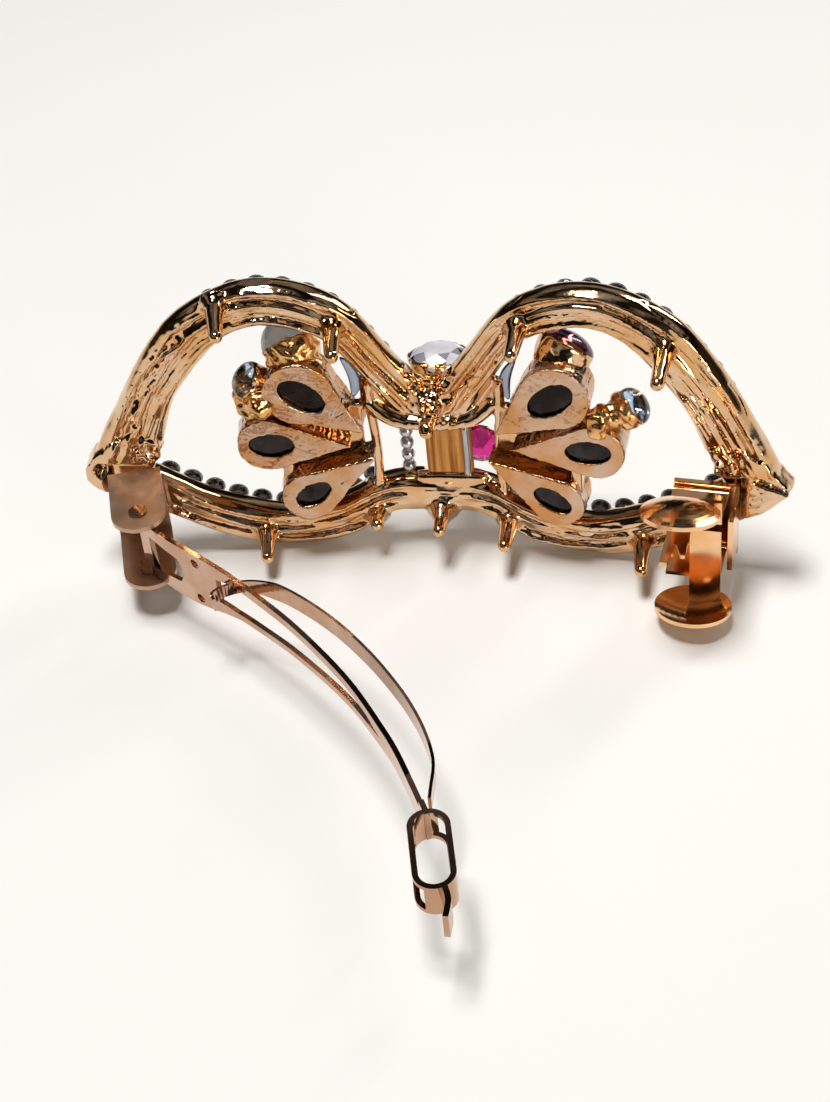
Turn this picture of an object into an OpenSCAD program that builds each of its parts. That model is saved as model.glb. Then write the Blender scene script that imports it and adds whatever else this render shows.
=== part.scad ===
// Rhinestone bow hair clip: a cast bow ornament set with stones, carrying a French barrette
// clip on its back. X runs along the bow, +Y is the stone side, Z is up when the bow is upright.
// The origin is the middle of the knot, in the middle plane of the band castings. Sizes are in mm.

/* [Bow] */
// Angle at which each loop leans back from the knot, in degrees
loop_lean = 7; // [0:0.5:9]
// Depth of the band casting, front to back
band_depth = 3; // [2.4:0.1:3.2]
// Width of the upper arc of each loop
upper_band_w = 4.6; // [3.8:0.1:4.8]
// Extra width that the upper arc gains towards the corner
upper_band_swell = 2.6; // [1:0.1:3]
// Width of the lower arc of each loop
lower_band_w = 5.2; // [4.2:0.1:5.2]
// Height of the grain ridges on the back of the bands
ridge_h = 0.25; // [0.1:0.05:0.4]
// Diameter of the rhinestones along the bands
band_stone_d = 2.6; // [2:0.1:2.7]
// Radius of the pegs on the back
peg_r = 0.8; // [0.6:0.05:0.9]

/* [Stone clusters] */
// Depth of the pear-shaped cups
cup_depth = 4.2; // [3.6:0.1:4.4]
// Wall thickness of the pear-shaped cups
cup_wall = 0.6; // [0.4:0.05:0.8]
// Diameter of the smoke stones at the top of each cluster
smoke_d = 5.6; // [4.6:0.1:5.8]
// Diameter of the pronged side stones
side_stone_d = 4.2; // [3.6:0.1:4.4]
// Diameter of the clear crystal on the knot
crystal_d = 7.2; // [6.4:0.1:7.6]

/* [Clip] */
// Angle between the arm as modelled and the arm latched shut, in degrees
open_angle = 49; // [30:1:70]
// Height of the clip's centre line relative to the knot
clip_z = -3; // [-3.4:0.1:-2.6]
// Thickness of the arm strip
arm_t = 0.6; // [0.5:0.05:0.7]
// Width of the arm at its root
arm_root_w = 7.8; // [7.2:0.1:8]
// Thickness of the tension strip
strip_t = 0.35; // [0.25:0.05:0.45]
// Width of the tension strip
strip_w = 2.4; // [2:0.1:2.6]
// Thickness of the bracket and latch sheet
sheet_t = 0.6; // [0.5:0.05:0.7]
// Radius of the finger pads of the latch
pad_r = 4.5; // [4:0.1:4.8]

/* [Hidden] */
$fn = 48;
half_depth = band_depth / 2;
plated = [0.84, 0.66, 0.52];
plated_dark = [0.72, 0.52, 0.4];
steel = [0.82, 0.7, 0.56];
clear = [0.88, 0.92, 0.96];
smoke = [0.42, 0.42, 0.46];
aurora = [0.6, 0.72, 0.85];
magenta = [0.68, 0.14, 0.4];
silver = [0.78, 0.78, 0.8];

// Centre lines of the two arcs of a loop, from the knot out to the pointed corner
upper_line = [[1.5, 7.2], [5.4, 13.2], [11.2, 21], [19.4, 23.8], [27, 20.8], [32.8, 14.2], [36.6, 7.4],
  [39.4, 2.2]];
lower_line = [[1.5, -4.6], [6.4, -5], [12.4, -8.3], [19.4, -9.2], [26.6, -7.2], [33.2, -3.6], [39.4, 0.2]];
line_steps = 5;
corner_points = [[36.6, 6.6], [39.8, 4.6], [43, 0.9], [39.6, -2.4], [35, -4.6], [36.8, 0.8]];
corner_hole = [40.6, 1.4];
// Plain areas without ridges at the corner and at the knot: [along, up] and [length, height]
corner_plain = [[30, -9], [14, 12]];
knot_plain = [[0, -12], [7, 30]];
corner_hole_depth = 4;
corner_hole_half = [0.5, 0.8];
ridge_count = 3;
ridge_w = 0.5;
edge_bevel = 0.5;
stone_gap = 0.25;
// Distance from the knot to the first stone, from the last stone to the corner, and rise over the line
upper_run = [8, 5, 0.3];
lower_run = [7, 7, 1.5];

// Round end [along, up], radius, tip [along, up] and back face of each pear cup
cup_upper = [[15.5, 12.2], 4.2, [8.2, 6.2], -3.2];
cup_middle = [[20, 5], 3.7, [9.8, 4.2], -3.2];
cup_lower = [[15.6, -2.6], 3.4, [7.2, 2.8], -3.8];
cup_front = cup_upper[3] + cup_depth;
cup_floor = 0.6;
fit_gap = 0.05;
// Steps of a pear stone's bevel: [depth below the cup's rim, inset from the cup's outline]
pear_steps = [[1, cup_wall + fit_gap], [0.5, cup_wall + 0.5], [0.1, cup_wall + 1]];

// Gem proportions as fractions of its diameter
gem_depth = 0.42;
gem_girdle = [-0.04, 0.02];
gem_crown = 0.17;
gem_table = 0.29;
collet_wall = 0.35;
collet_floor = 0.4;
prong_r = 0.3;
prong_rise = 0.09;
prong_gap = 0.01;

smoke_at = [16.8, 18.1];
smoke_rise = 78;
smoke_forward = 1.9;
smoke_post_w = 2;
smoke_post_front = 0.4;
smoke_post_drop = 3;
smoke_post_h = 7;
side_left = [22.9, 12];
side_right = [24.2, 10];
side_turn = [-15, 55, 0];
side_post = [[20.6, 4.6], 2.2];
side_post_half = 1;
side_post_drop = 1;
crescent_at = [9.4, 11.6];
crescent_lean = -22;
crescent_back = -0.8;
crescent_outer = [0.95, 2.4];
crescent_inner = [0.7, 1.7];
crescent_bite = 0.9;
bar_at = 7.2;
bar_w = 1.5;
bar_low = -6;
bar_h = 20;
web_low = 0.8;
web_size = [11.4, 8.4];
foot_at = [14.6, -7.6];
foot_size = [1.5, 4];
bridge_at = [17.1, -2.4];
bridge_size = [1.4, 5];
bridge_back = -2.9;
cup_hole = [0.72, 0.42];
cup_hole_shift = 0.06;
strut_front = -0.1;

// Pegs: [along the bow (negative is left), up, length, sideways lean in degrees]
pegs = [
  [-23.7, 24.2, 7.4, 7], [-10.6, 20.3, 6.8, 2], [-21.9, -9.2, 6.2, 5], [-8, -7.4, 3.1, 3],
  [11.3, 20.6, 6.4, 5], [28, 19.4, 7.5, 3], [9, -7.6, 6, 6], [25.4, -8.4, 6.8, 8],
];
// Depth by which a peg is rooted in the casting, and the lean of the knot's upper peg
peg_root = 0.3;
centre_peg_lean = 2;
centre_peg_up = [0.1, 8.6, 6.5];
centre_peg_low = [0.6, -6.6, 6];
skirt_start = -half_depth - 0.3;
skirt_h = 2.2;
skirt_r = 2;
knot_back = -2.2;
// Blocks of the knot: [left, bottom], [width, height], front face
knot_top = [[-5.2, 5.6], [10.6, 5], half_depth];
knot_step = [[-1.8, -5.4], [7.4, 4.2], -0.8];
knot_low = [[-4, -7.4], [10, 4.4], half_depth];
pillar_back = -2;
pillar_left = -0.9;
pillar_size = [4.7, 1.1];
pillar_strip = [0.9, 0.7];
pillar_step = 0.1;
bead_count = 4;
bead_r = 0.85;
bead_pitch = 1.74;
bead_at = [-3.4, -0.6, -1.1];
magenta_d = 5.4;
magenta_at = [5.2, 1.6, 0.8];
crystal_at = [0.4, 5.2, 10.9];
crystal_lean = -12;

hinge_along = 35.2;
hinge_back = -10.4;
hinge_x = -hinge_along * cos(loop_lean) - hinge_back * sin(loop_lean);
hinge_y = -hinge_along * sin(loop_lean) + hinge_back * cos(loop_lean);
hinge_pin_r = 1.1;
hinge_gap = 0.05;
ear_w = 6.4;
bracket_turn = 18;
ear_reach = 8.2;
ear_in = 0.25;
solder_h = 0.7;
solder_root = 0.1;
solder_pad = [6.2, 1.4, 8.2];
base_back = -half_depth - solder_h;

// Arm in its latched position: along the clip, and towards the ornament
arm_line = [[0, 0], [4.6, 0.7], [9.7, 2], [15, 3.5], [20.6, 4.6], [27.5, 5.6], [36.8, 6.1], [44.7, 5.5],
  [50, 4.7], [58.3, 2.6]];
loop_centre = [62.3, 0.5];
loop_half = 5.2;
loop_r = 2.2;
loop_turn = -28;
tail_line = [[66.8, -1], [68.6, -1.7], [70.2, -3.1]];
strip_line = [[15.8, 1.2], [14.5, 1.6], [14.3, 3.4], [15.2, 5.8], [18, 7.9], [22.3, 9.3], [28, 10.3],
  [34, 10.6], [39, 10.4], [43.5, 9.9], [48, 8.9], [52.2, 7.3], [55.2, 5], [56.2, 4.2]];

// Outlines of the flat blanks: along the clip, and up from its centre line
root_w = arm_root_w / 2;
neck_w = 1.2;
arm_outline = [[-2, -root_w], [9, -root_w], [11.6, 0.4 - root_w], [17, -2.4], [30, -1.8], [44, -neck_w],
  [58, -neck_w], [58, neck_w], [52, neck_w], [42, 2], [30, 2.8], [17, 3.5], [11, root_w], [-2, root_w]];
arm_window = [[13.4, -1.5], [16, -1.6], [30, -1], [42, -0.3], [45, 0.1], [42, 0.9], [30, 1.8], [16, 2.5],
  [13.4, 1.8]];
root_window = [[2, -2.4], [7.2, -1.7], [8, 0], [7.2, 1.7], [2, 2.4]];
pinholes = [[10.2, -2.7], [10.2, 2.6]];
pinhole_r = 0.6;
blank_reach = 10;
pin_low = [-root_w - 1.1, root_w - 0.9];
pin_h = 2;
// End of the blank that is bent into the loop and the tail: [along, up] and [length, width]
loop_blank = [[56.4, -1.9], [14.4, 3.8]];
loop_window = [[58.4, -1.45], [7.6, 2.9]];
tail_cut = [[67.4, -3], [5, 1.8]];
strip_rise = 0.5;
strip_half = strip_w / 2;
strip_end = 0.8;
strip_outline = [[10, -strip_end], [15, -strip_end], [18, -strip_half], [50, -strip_half], [58, -strip_end],
  [58, strip_end], [50, strip_half], [18, strip_half], [15, strip_end], [10, strip_end]];

// Latch: along the bow, then back from the middle plane, then up from the clip's centre line
latch_along = 32.6;
latch_w = 6.4;
// Solder pad, base plate and side plate: [along, up] and [length, height]
latch_pad = [[latch_along - 0.6, clip_z - 4], [5, 8.2]];
latch_plate = [[latch_along - 3.2, clip_z - 5], [7.6, 10]];
latch_side = [[latch_along + 3.8, clip_z - 3.6], [sheet_t, 7.2]];
latch_side_depth = 4.8;
jaw_t = 0.5;
wall_z = 4.4;
wall_end = -8.6;
root_gap = 0.5;
root_roll_r = 0.3;
root_back = base_back - sheet_t - root_gap;
// Finger pads: [along from the latch, back, up, tilt in degrees, height at which the sheet meets the pad]
upper_pad = [-1.1, -11.6, 7.1, 16, 7];
lower_pad = [0.4, -10.6, 6.9, -11, 8.4];
pad_t = 0.5;
pad_dome = 1.2;
fork_z = 0.8;
fork_back = -5.4;
fork_tip = -13.2;
fork_w = 2.7;
fork_gap = 0.2;
// Right and left prongs of the fork and the notch between them, from the fork's left edge and its tip
fork_right = [0.5, 1.6];
fork_notch = [1.2, 4];
fork_left = 0.9;
face_left = -0.4;
face_top = 2.8;
face_gap = 0.1;

// Point at fraction t between knots i and i + 1 of a smooth line through the points p
function knot(p, i) = p[max(0, min(len(p) - 1, i))];
function smooth(p, i, t) =
  0.5 * (2 * knot(p, i) + (knot(p, i + 1) - knot(p, i - 1)) * t
  + (2 * knot(p, i - 1) - 5 * knot(p, i) + 4 * knot(p, i + 1) - knot(p, i + 2)) * t * t
  + (3 * knot(p, i) - knot(p, i - 1) - 3 * knot(p, i + 1) + knot(p, i + 2)) * t * t * t);
function curve(p, steps) = [
  for (i = [0 : len(p) - 2], k = [0 : steps - 1]) smooth(p, i, k / steps),
  p[len(p) - 1],
];
function unit(v) = v / norm(v);
function side_of(c, i) = let (d = unit(c[min(i + 1, len(c) - 1)] - c[max(i - 1, 0)])) [-d[1], d[0]];
function shifted(c, d) = [for (i = [0 : len(c) - 1]) c[i] + side_of(c, i) * d];
function flipped(c) = [for (i = [len(c) - 1 : -1 : 0]) c[i]];
function ribbon(c, d0, d1) = concat(shifted(c, d0), flipped(shifted(c, d1)));
// Offset that grows by swell towards the far end of the line c
function swelling(c, d, swell) =
  let (n = len(c) - 1) [for (i = [0 : n]) c[i] + side_of(c, i) * (d + swell * pow(i / n, 2) * (2 - i / n))];
function total(c, i = 0) = i >= len(c) - 1 ? 0 : norm(c[i + 1] - c[i]) + total(c, i + 1);
function along(c, s, i = 0) =
  let (d = norm(c[i + 1] - c[i]))
  s <= d || i >= len(c) - 2 ? c[i] + (c[i + 1] - c[i]) * s / d : along(c, s - d, i + 1);

// Pear outline: a round end of radius r about the origin, drawn out to a tip at distance reach along -X
function pear(r, reach) =
  let (half = acos(r / reach), first = 180 - half, sweep = 360 - 2 * half, n = 28)
  concat([[-reach, 0]], [for (k = [0 : n]) r * [cos(first - sweep * k / n), sin(first - sweep * k / n)]]);
function oval(a, b, n = 32) = [for (k = [0 : n - 1]) [a * cos(360 * k / n), b * sin(360 * k / n)]];

// Places a right-hand half's drawing on one side of the bow: side is 1 for right, -1 for left
module on_half(side) {
  if (side < 0) mirror([1, 0, 0]) rotate([0, 0, -loop_lean]) children();
  else rotate([0, 0, -loop_lean]) children();
}

// Extrudes a drawing made in [along, up] from back to front
module slab(back, front) {
  translate([0, front, 0]) rotate([90, 0, 0]) linear_extrude(front - back) children();
}

module pear_at(cup, inset = 0) {
  tip = cup[2] - cup[0];
  translate(cup[0]) rotate(atan2(tip[1], tip[0]) + 180)
    polygon(pear(cup[1] - inset, norm(tip) - inset * norm(tip) / cup[1]));
}

module arc_outline(c, w, swell = 0) {
  path = curve(c, line_steps);
  polygon(concat(swelling(path, -w / 2, -swell), flipped(shifted(path, w / 2))));
}

module ridges(c, w) {
  pitch = (w - 2 * edge_bevel) / ridge_count;
  for (k = [0 : ridge_count - 1]) {
    middle = -w / 2 + edge_bevel + pitch * (k + 0.5);
    polygon(ribbon(curve(c, line_steps), middle - ridge_w / 2, middle + ridge_w / 2));
  }
}

module corner_outline() {
  polygon(corner_points);
}

module all_cups() {
  pear_at(cup_upper);
  pear_at(cup_middle);
  pear_at(cup_lower);
}

module struts() {
  translate([bar_at - bar_w / 2, bar_low]) square([bar_w, bar_h]);
  translate([bar_at, web_low]) square(web_size);
  translate(foot_at) square(foot_size);
}

module at_smoke() {
  translate([smoke_at[0], smoke_forward, smoke_at[1]]) rotate([smoke_rise, 0, 0]) facing_front() children();
}

module smoke_post() {
  translate([smoke_at[0] - smoke_post_w / 2, smoke_at[1] - smoke_post_drop])
    square([smoke_post_w, smoke_post_h]);
}

module half_casting() {
  slab(-half_depth, half_depth) {
    arc_outline(upper_line, upper_band_w, upper_band_swell);
    arc_outline(lower_line, lower_band_w);
  }
  slab(-half_depth - ridge_h, -half_depth) difference() {
    union() {
      ridges(upper_line, upper_band_w);
      ridges(lower_line, lower_band_w);
    }
    patch(corner_plain);
    patch(knot_plain);
  }
  slab(-half_depth, strut_front) difference() {
    struts();
    all_cups();
  }
  slab(bridge_back, strut_front) difference() {
    translate(bridge_at) square(bridge_size);
    all_cups();
  }
  difference() {
    slab(-half_depth, smoke_post_front) difference() {
      smoke_post();
      all_cups();
    }
    at_smoke() gem(smoke_d + 2 * fit_gap);
  }
}

module peg(length, lean) {
  rotate([0, 0, lean]) rotate([90, 0, 0]) cylinder(r = peg_r, h = length);
}

module bow_frame() {
  color(plated) difference() {
    union() {
      for (side = [-1, 1]) on_half(side) {
        half_casting();
        slab(-half_depth - solder_h, half_depth) corner_outline();
      }
      at_bracket() translate([-solder_pad[0] / 2, ear_reach, -solder_pad[2] / 2]) cube(solder_pad);
      on_half(1) slab(base_back, -half_depth + solder_root) patch(latch_pad);
      knot_blocks();
      for (p = pegs) on_half(sign(p[0])) translate([abs(p[0]), -half_depth + peg_root, p[1]])
        peg(p[2] + peg_root, p[3] * sign(p[0]));
      translate([centre_peg_up[0], -half_depth + peg_root, centre_peg_up[1]])
        peg(centre_peg_up[2], centre_peg_lean);
      translate([centre_peg_low[0], -half_depth + peg_root, centre_peg_low[1]]) peg(centre_peg_low[2], 0);
      translate([centre_peg_low[0], skirt_start, centre_peg_low[1]]) rotate([90, 0, 0])
        cylinder(r1 = skirt_r, r2 = peg_r, h = skirt_h);
    }
    on_half(-1) slab(-corner_hole_depth, corner_hole_depth) translate(corner_hole)
      polygon(oval(corner_hole_half[0], corner_hole_half[1], 20));
    at_bracket() bracket_solid();
  }
}

// A cut stone with its table towards +Z and its girdle at z = 0
module gem(d) {
  rotate_extrude() polygon([[0, -gem_depth * d], [d / 2, gem_girdle[0] * d], [d / 2, gem_girdle[1] * d],
    [gem_table * d, gem_crown * d], [0, gem_crown * d]]);
}

// Points along +Y instead of +Z
module facing_front() {
  rotate([-90, 0, 0]) children();
}

module band_stones(side, c, run) {
  path = curve(c, line_steps);
  reach = total(path) - run[0] - run[1];
  count = floor(reach / (band_stone_d + stone_gap));
  color(clear) on_half(side) for (k = [0 : count]) {
    p = along(path, run[0] + reach * k / count);
    translate([p[0], half_depth + gem_depth * band_stone_d, p[1] + run[2]]) facing_front() gem(band_stone_d);
  }
}

module left_upper_stones() { band_stones(-1, upper_line, upper_run); }
module left_lower_stones() { band_stones(-1, lower_line, lower_run); }
module right_upper_stones() { band_stones(1, upper_line, upper_run); }
module right_lower_stones() { band_stones(1, lower_line, lower_run); }

module pear_cup(side, cup) {
  back = cup[3];
  tip = cup[2] - cup[0];
  color(plated) on_half(side) difference() {
    slab(back, back + cup_depth) pear_at(cup);
    slab(back + cup_floor, back + cup_depth + 1) pear_at(cup, cup_wall);
    slab(back - 1, back + cup_depth) translate(cup[0] + cup_hole_shift * tip) rotate(atan2(tip[1], tip[0]))
      polygon(oval(cup_hole[0] * cup[1], cup_hole[1] * cup[1]));
  }
}

module left_upper_cup() { pear_cup(-1, cup_upper); }
module left_middle_cup() { pear_cup(-1, cup_middle); }
module left_lower_cup() { pear_cup(-1, cup_lower); }
module right_upper_cup() { pear_cup(1, cup_upper); }
module right_middle_cup() { pear_cup(1, cup_middle); }
module right_lower_cup() { pear_cup(1, cup_lower); }

// A stone lying in its cup on the cup's floor
module pear_stone(side, cup) {
  seat = cup[3] + cup_floor;
  front = cup[3] + cup_depth;
  color(smoke) on_half(side) {
    for (k = [0 : len(pear_steps) - 1]) {
      back = k == 0 ? seat : front - pear_steps[k - 1][0];
      slab(back, front - pear_steps[k][0]) pear_at(cup, pear_steps[k][1]);
    }
  }
}

module left_upper_pear() { pear_stone(-1, cup_upper); }
module left_middle_pear() { pear_stone(-1, cup_middle); }
module left_lower_pear() { pear_stone(-1, cup_lower); }
module right_upper_pear() { pear_stone(1, cup_upper); }
module right_middle_pear() { pear_stone(1, cup_middle); }
module right_lower_pear() { pear_stone(1, cup_lower); }

// A collet with prongs that holds a gem of diameter d; the gem's girdle is at z = 0
module setting(d, prongs) {
  depth = gem_depth * d;
  seat_d = d + 2 * fit_gap;
  difference() {
    translate([0, 0, -depth - collet_floor])
      cylinder(r1 = gem_depth * d, r2 = d / 2 + collet_wall, h = depth + collet_floor);
    gem(seat_d);
    translate([0, 0, gem_girdle[0] * d]) cylinder(d = seat_d, h = d);
  }
  for (k = [0 : prongs - 1]) rotate(360 * (k + 0.5) / prongs)
    translate([d / 2 + collet_wall + prong_gap, 0, -depth]) cylinder(r = prong_r, h = depth + prong_rise * d);
}

module smoke_place(side) {
  on_half(side) at_smoke() children();
}

// The setting is cut to sit on the upper cup and its post
module smoke_setting(side) {
  color(plated) difference() {
    smoke_place(side) setting(smoke_d, 4);
    on_half(side) slab(cup_upper[3], cup_front) pear_at(cup_upper);
    on_half(side) slab(-half_depth, smoke_post_front) smoke_post();
  }
}

module left_smoke_setting() { smoke_setting(-1); }
module right_smoke_setting() { smoke_setting(1); }
module left_smoke_stone() { color(smoke) smoke_place(-1) gem(smoke_d); }
module right_smoke_stone() { color(magenta) smoke_place(1) gem(smoke_d); }

// Side stones look up and outwards
module side_place(side) {
  at = side < 0 ? side_left : side_right;
  on_half(side) translate([at[0], 0, at[1]]) rotate(side_turn) children();
}

module side_setting(side) {
  at = side < 0 ? side_left : side_right;
  color(plated_dark) difference() {
    union() {
      side_place(side) setting(side_stone_d, 5);
      on_half(side) slab(-side_post_half, side_post_half) translate(side_post[0])
        square([side_post[1], at[1] - side_post_drop - side_post[0][1]]);
    }
    on_half(side) slab(-5, 5) {
      all_cups();
      struts();
      translate(bridge_at) square(bridge_size);
    }
    side_place(side) gem(side_stone_d + 2 * fit_gap);
  }
}

module left_side_setting() { side_setting(-1); }
module right_side_setting() { side_setting(1); }
module left_side_stone() { color(aurora) side_place(-1) gem(side_stone_d); }
module right_side_stone() { color(aurora) side_place(1) gem(side_stone_d); }

module crescent(side) {
  color(aurora) on_half(side) slab(crescent_back, half_depth) translate(crescent_at)
    rotate(crescent_lean) difference() {
      polygon(oval(crescent_outer[0], crescent_outer[1]));
      translate([crescent_bite, 0]) polygon(oval(crescent_inner[0], crescent_inner[1]));
    }
}

module left_crescent() { crescent(-1); }
module right_crescent() { crescent(1); }

module knot_pillar() {
  low = knot_step[0][1] + knot_step[1][1];
  h = knot_top[0][1] - low;
  color(plated_dark) translate([pillar_left, pillar_back, low]) {
    cube([pillar_size[0], pillar_size[1], h]);
    translate([pillar_size[0], pillar_step, 0]) cube([pillar_strip[0], pillar_strip[1], h]);
  }
}

module bead_column() {
  color(silver) for (k = [0 : bead_count - 1]) translate(bead_at + [0, 0, bead_pitch * k]) sphere(r = bead_r);
}

module magenta_stone() {
  color(magenta) translate(magenta_at) facing_front() gem(magenta_d);
}

module crystal_place() {
  translate(crystal_at) rotate([crystal_lean, 0, 0]) children();
}

module knot_block(b) {
  translate([b[0][0], knot_back, b[0][1]]) cube([b[1][0], b[2] - knot_back, b[1][1]]);
}

module knot_blocks() {
  knot_block(knot_top);
  knot_block(knot_step);
  knot_block(knot_low);
}

module crystal_setting() {
  color(plated) difference() {
    crystal_place() setting(crystal_d, 6);
    knot_blocks();
    for (side = [-1, 1]) on_half(side) slab(-half_depth, half_depth)
      arc_outline(upper_line, upper_band_w, upper_band_swell);
  }
}

module knot_crystal() {
  color(clear) crystal_place() gem(crystal_d);
}

// Bracket ear drawn about the pivot, reaching forwards to the base
module ear_outline() {
  difference() {
    union() {
      translate([-ear_w / 2, 0]) square([ear_w, ear_reach]);
      circle(r = ear_w / 2);
    }
    circle(r = hinge_pin_r + hinge_gap);
  }
}

module at_bracket() {
  translate([hinge_x, hinge_y, clip_z]) rotate([0, 0, bracket_turn]) children();
}

module bracket_solid() {
  ear_z = arm_root_w / 2 + ear_in;
  for (z = [ear_z, -ear_z - sheet_t]) translate([0, 0, z]) linear_extrude(sheet_t) ear_outline();
  translate([-ear_w / 2, ear_reach - sheet_t, -ear_z - sheet_t])
    cube([ear_w, sheet_t, 2 * (ear_z + sheet_t)]);
}

module hinge_bracket() {
  color(plated_dark) at_bracket() bracket_solid();
}

module at_hinge() {
  translate([hinge_x, hinge_y, clip_z]) rotate([0, 0, -open_angle]) children();
}

module arm_loop_outline(r) {
  translate(loop_centre) rotate(loop_turn) {
    square([2 * (loop_half - loop_r), 2 * r], center = true);
    for (s = [-1, 1]) translate([s * (loop_half - loop_r), 0]) circle(r = r);
  }
}

// The strip seen from above, then the blank seen flat, meet to make the bent arm
module arm_bend() {
  polygon(ribbon(curve(arm_line, line_steps), -arm_t / 2, arm_t / 2));
  difference() {
    arm_loop_outline(loop_r);
    arm_loop_outline(loop_r - arm_t);
  }
  polygon(ribbon(curve(tail_line, line_steps), -arm_t / 2, arm_t / 2));
}

module patch(p) {
  translate(p[0]) square(p[1]);
}

module arm_blank() {
  difference() {
    union() {
      polygon(arm_outline);
      patch(loop_blank);
    }
    polygon(arm_window);
    polygon(root_window);
    for (p = pinholes) translate(p) circle(r = pinhole_r);
    patch(loop_window);
    patch(tail_cut);
  }
}

module clip_arm() {
  color(steel) at_hinge() {
    intersection() {
      translate([0, 0, -blank_reach]) linear_extrude(2 * blank_reach) arm_bend();
      slab(-blank_reach, 2 * blank_reach) arm_blank();
    }
    for (z = pin_low) translate([0, 0, z]) cylinder(r = hinge_pin_r, h = pin_h);
  }
}

module tension_strip() {
  color(plated) at_hinge() intersection() {
    translate([0, 0, -blank_reach]) linear_extrude(2 * blank_reach)
      polygon(ribbon(curve(strip_line, line_steps), -strip_t / 2, strip_t / 2));
    slab(0, 2 * blank_reach) translate([0, strip_rise]) polygon(strip_outline);
  }
}

module latch_base() {
  plate = base_back - sheet_t;
  color(plated_dark) on_half(1) {
    slab(plate, base_back) patch(latch_plate);
    slab(plate - latch_side_depth, plate) patch(latch_side);
  }
}

// Spring sheet of a jaw, from its root roll back to the finger pad; the lower jaw is drawn upside down
module jaw_sheet(left, w, pad) {
  translate([latch_along - latch_w / 2, wall_end, wall_z - jaw_t])
    cube([latch_w, root_back - wall_end, jaw_t]);
  translate([latch_along - latch_w / 2, root_back, wall_z - jaw_t / 2]) rotate([0, 90, 0])
    cylinder(r = root_roll_r, h = latch_w);
  translate([latch_along + left, wall_end, wall_z - jaw_t]) cube([w, jaw_t, pad[4] - wall_z + jaw_t]);
}

// A shallow dome, hollow on the side that faces the other jaw
module finger_pad(pad) {
  n = 8;
  dome = [for (k = [0 : n]) [pad_r * k / n, pad_dome * (1 - pow(k / n, 2))]];
  translate([latch_along + pad[0], pad[1], pad[2]]) rotate([-pad[3], 0, 0])
    rotate_extrude() polygon(concat(dome, [for (k = [n : -1 : 0]) dome[k] + [0, pad_t]]));
}

// The forked tongue that the arm's end snaps over
module fork() {
  left = latch_along - latch_w / 2;
  translate([left, fork_back, fork_z]) cube([fork_w, jaw_t, wall_z - fork_z - fork_gap]);
  translate([0, 0, fork_z]) linear_extrude(jaw_t)
    polygon([[left, fork_back + jaw_t], [left + fork_w, fork_back + jaw_t],
      [left + fork_w, fork_tip + fork_right[1]], [left + fork_w - fork_right[0], fork_tip + fork_right[1]],
      [left + fork_notch[0], fork_tip + fork_notch[1]], [left + fork_left, fork_tip], [left, fork_tip]]);
}

module latch_upper_jaw() {
  color(steel) on_half(1) translate([0, 0, clip_z]) {
    jaw_sheet(-latch_w / 2, latch_w, upper_pad);
    finger_pad(upper_pad);
    fork();
  }
}

module latch_lower_jaw() {
  w = latch_w / 2 - face_left;
  color(steel) on_half(1) translate([0, 0, clip_z]) mirror([0, 0, 1]) {
    jaw_sheet(face_left, w, lower_pad);
    finger_pad(lower_pad);
    translate([latch_along + face_left, wall_end, -face_top]) cube([w, jaw_t, wall_z + face_top - face_gap]);
  }
}

bow_frame();
left_upper_stones();
left_lower_stones();
right_upper_stones();
right_lower_stones();
left_upper_cup();
left_middle_cup();
left_lower_cup();
right_upper_cup();
right_middle_cup();
right_lower_cup();
left_upper_pear();
left_middle_pear();
left_lower_pear();
right_upper_pear();
right_middle_pear();
right_lower_pear();
left_smoke_setting();
right_smoke_setting();
left_smoke_stone();
right_smoke_stone();
left_side_setting();
right_side_setting();
left_side_stone();
right_side_stone();
left_crescent();
right_crescent();
knot_pillar();
bead_column();
magenta_stone();
crystal_setting();
knot_crystal();
hinge_bracket();
clip_arm();
tension_strip();
latch_base();
latch_upper_jaw();
latch_lower_jaw();
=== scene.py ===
"""Rhinestone bow hair clip, seen from behind: cast and plated bow, stone clusters, barrette clip."""
import math

import bmesh
import bpy
import numpy as np
from mathutils import Matrix, Vector


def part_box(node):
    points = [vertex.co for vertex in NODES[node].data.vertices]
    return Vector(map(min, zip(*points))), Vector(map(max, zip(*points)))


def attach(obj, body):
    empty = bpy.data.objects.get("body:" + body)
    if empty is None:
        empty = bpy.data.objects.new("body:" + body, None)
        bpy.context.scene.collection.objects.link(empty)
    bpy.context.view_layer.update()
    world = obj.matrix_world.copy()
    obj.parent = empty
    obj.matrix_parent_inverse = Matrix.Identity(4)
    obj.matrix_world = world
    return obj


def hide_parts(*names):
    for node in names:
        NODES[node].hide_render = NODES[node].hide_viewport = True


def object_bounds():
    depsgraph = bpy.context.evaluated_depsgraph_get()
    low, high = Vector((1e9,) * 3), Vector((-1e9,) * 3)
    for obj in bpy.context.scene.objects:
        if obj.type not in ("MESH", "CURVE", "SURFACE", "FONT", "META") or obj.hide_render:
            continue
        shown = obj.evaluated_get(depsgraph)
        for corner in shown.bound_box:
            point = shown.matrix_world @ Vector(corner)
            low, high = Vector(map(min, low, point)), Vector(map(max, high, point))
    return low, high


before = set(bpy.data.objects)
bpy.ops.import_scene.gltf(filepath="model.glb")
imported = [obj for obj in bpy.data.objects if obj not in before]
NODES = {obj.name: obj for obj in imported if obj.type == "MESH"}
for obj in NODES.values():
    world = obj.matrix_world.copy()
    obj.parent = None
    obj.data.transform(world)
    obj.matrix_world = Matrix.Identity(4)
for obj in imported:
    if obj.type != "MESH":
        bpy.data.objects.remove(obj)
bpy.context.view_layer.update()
MM = 0.001  # shapes are worked out in millimetres and stored in metres
LEAN = math.radians(7)  # each loop leans back from the knot by this angle
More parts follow.
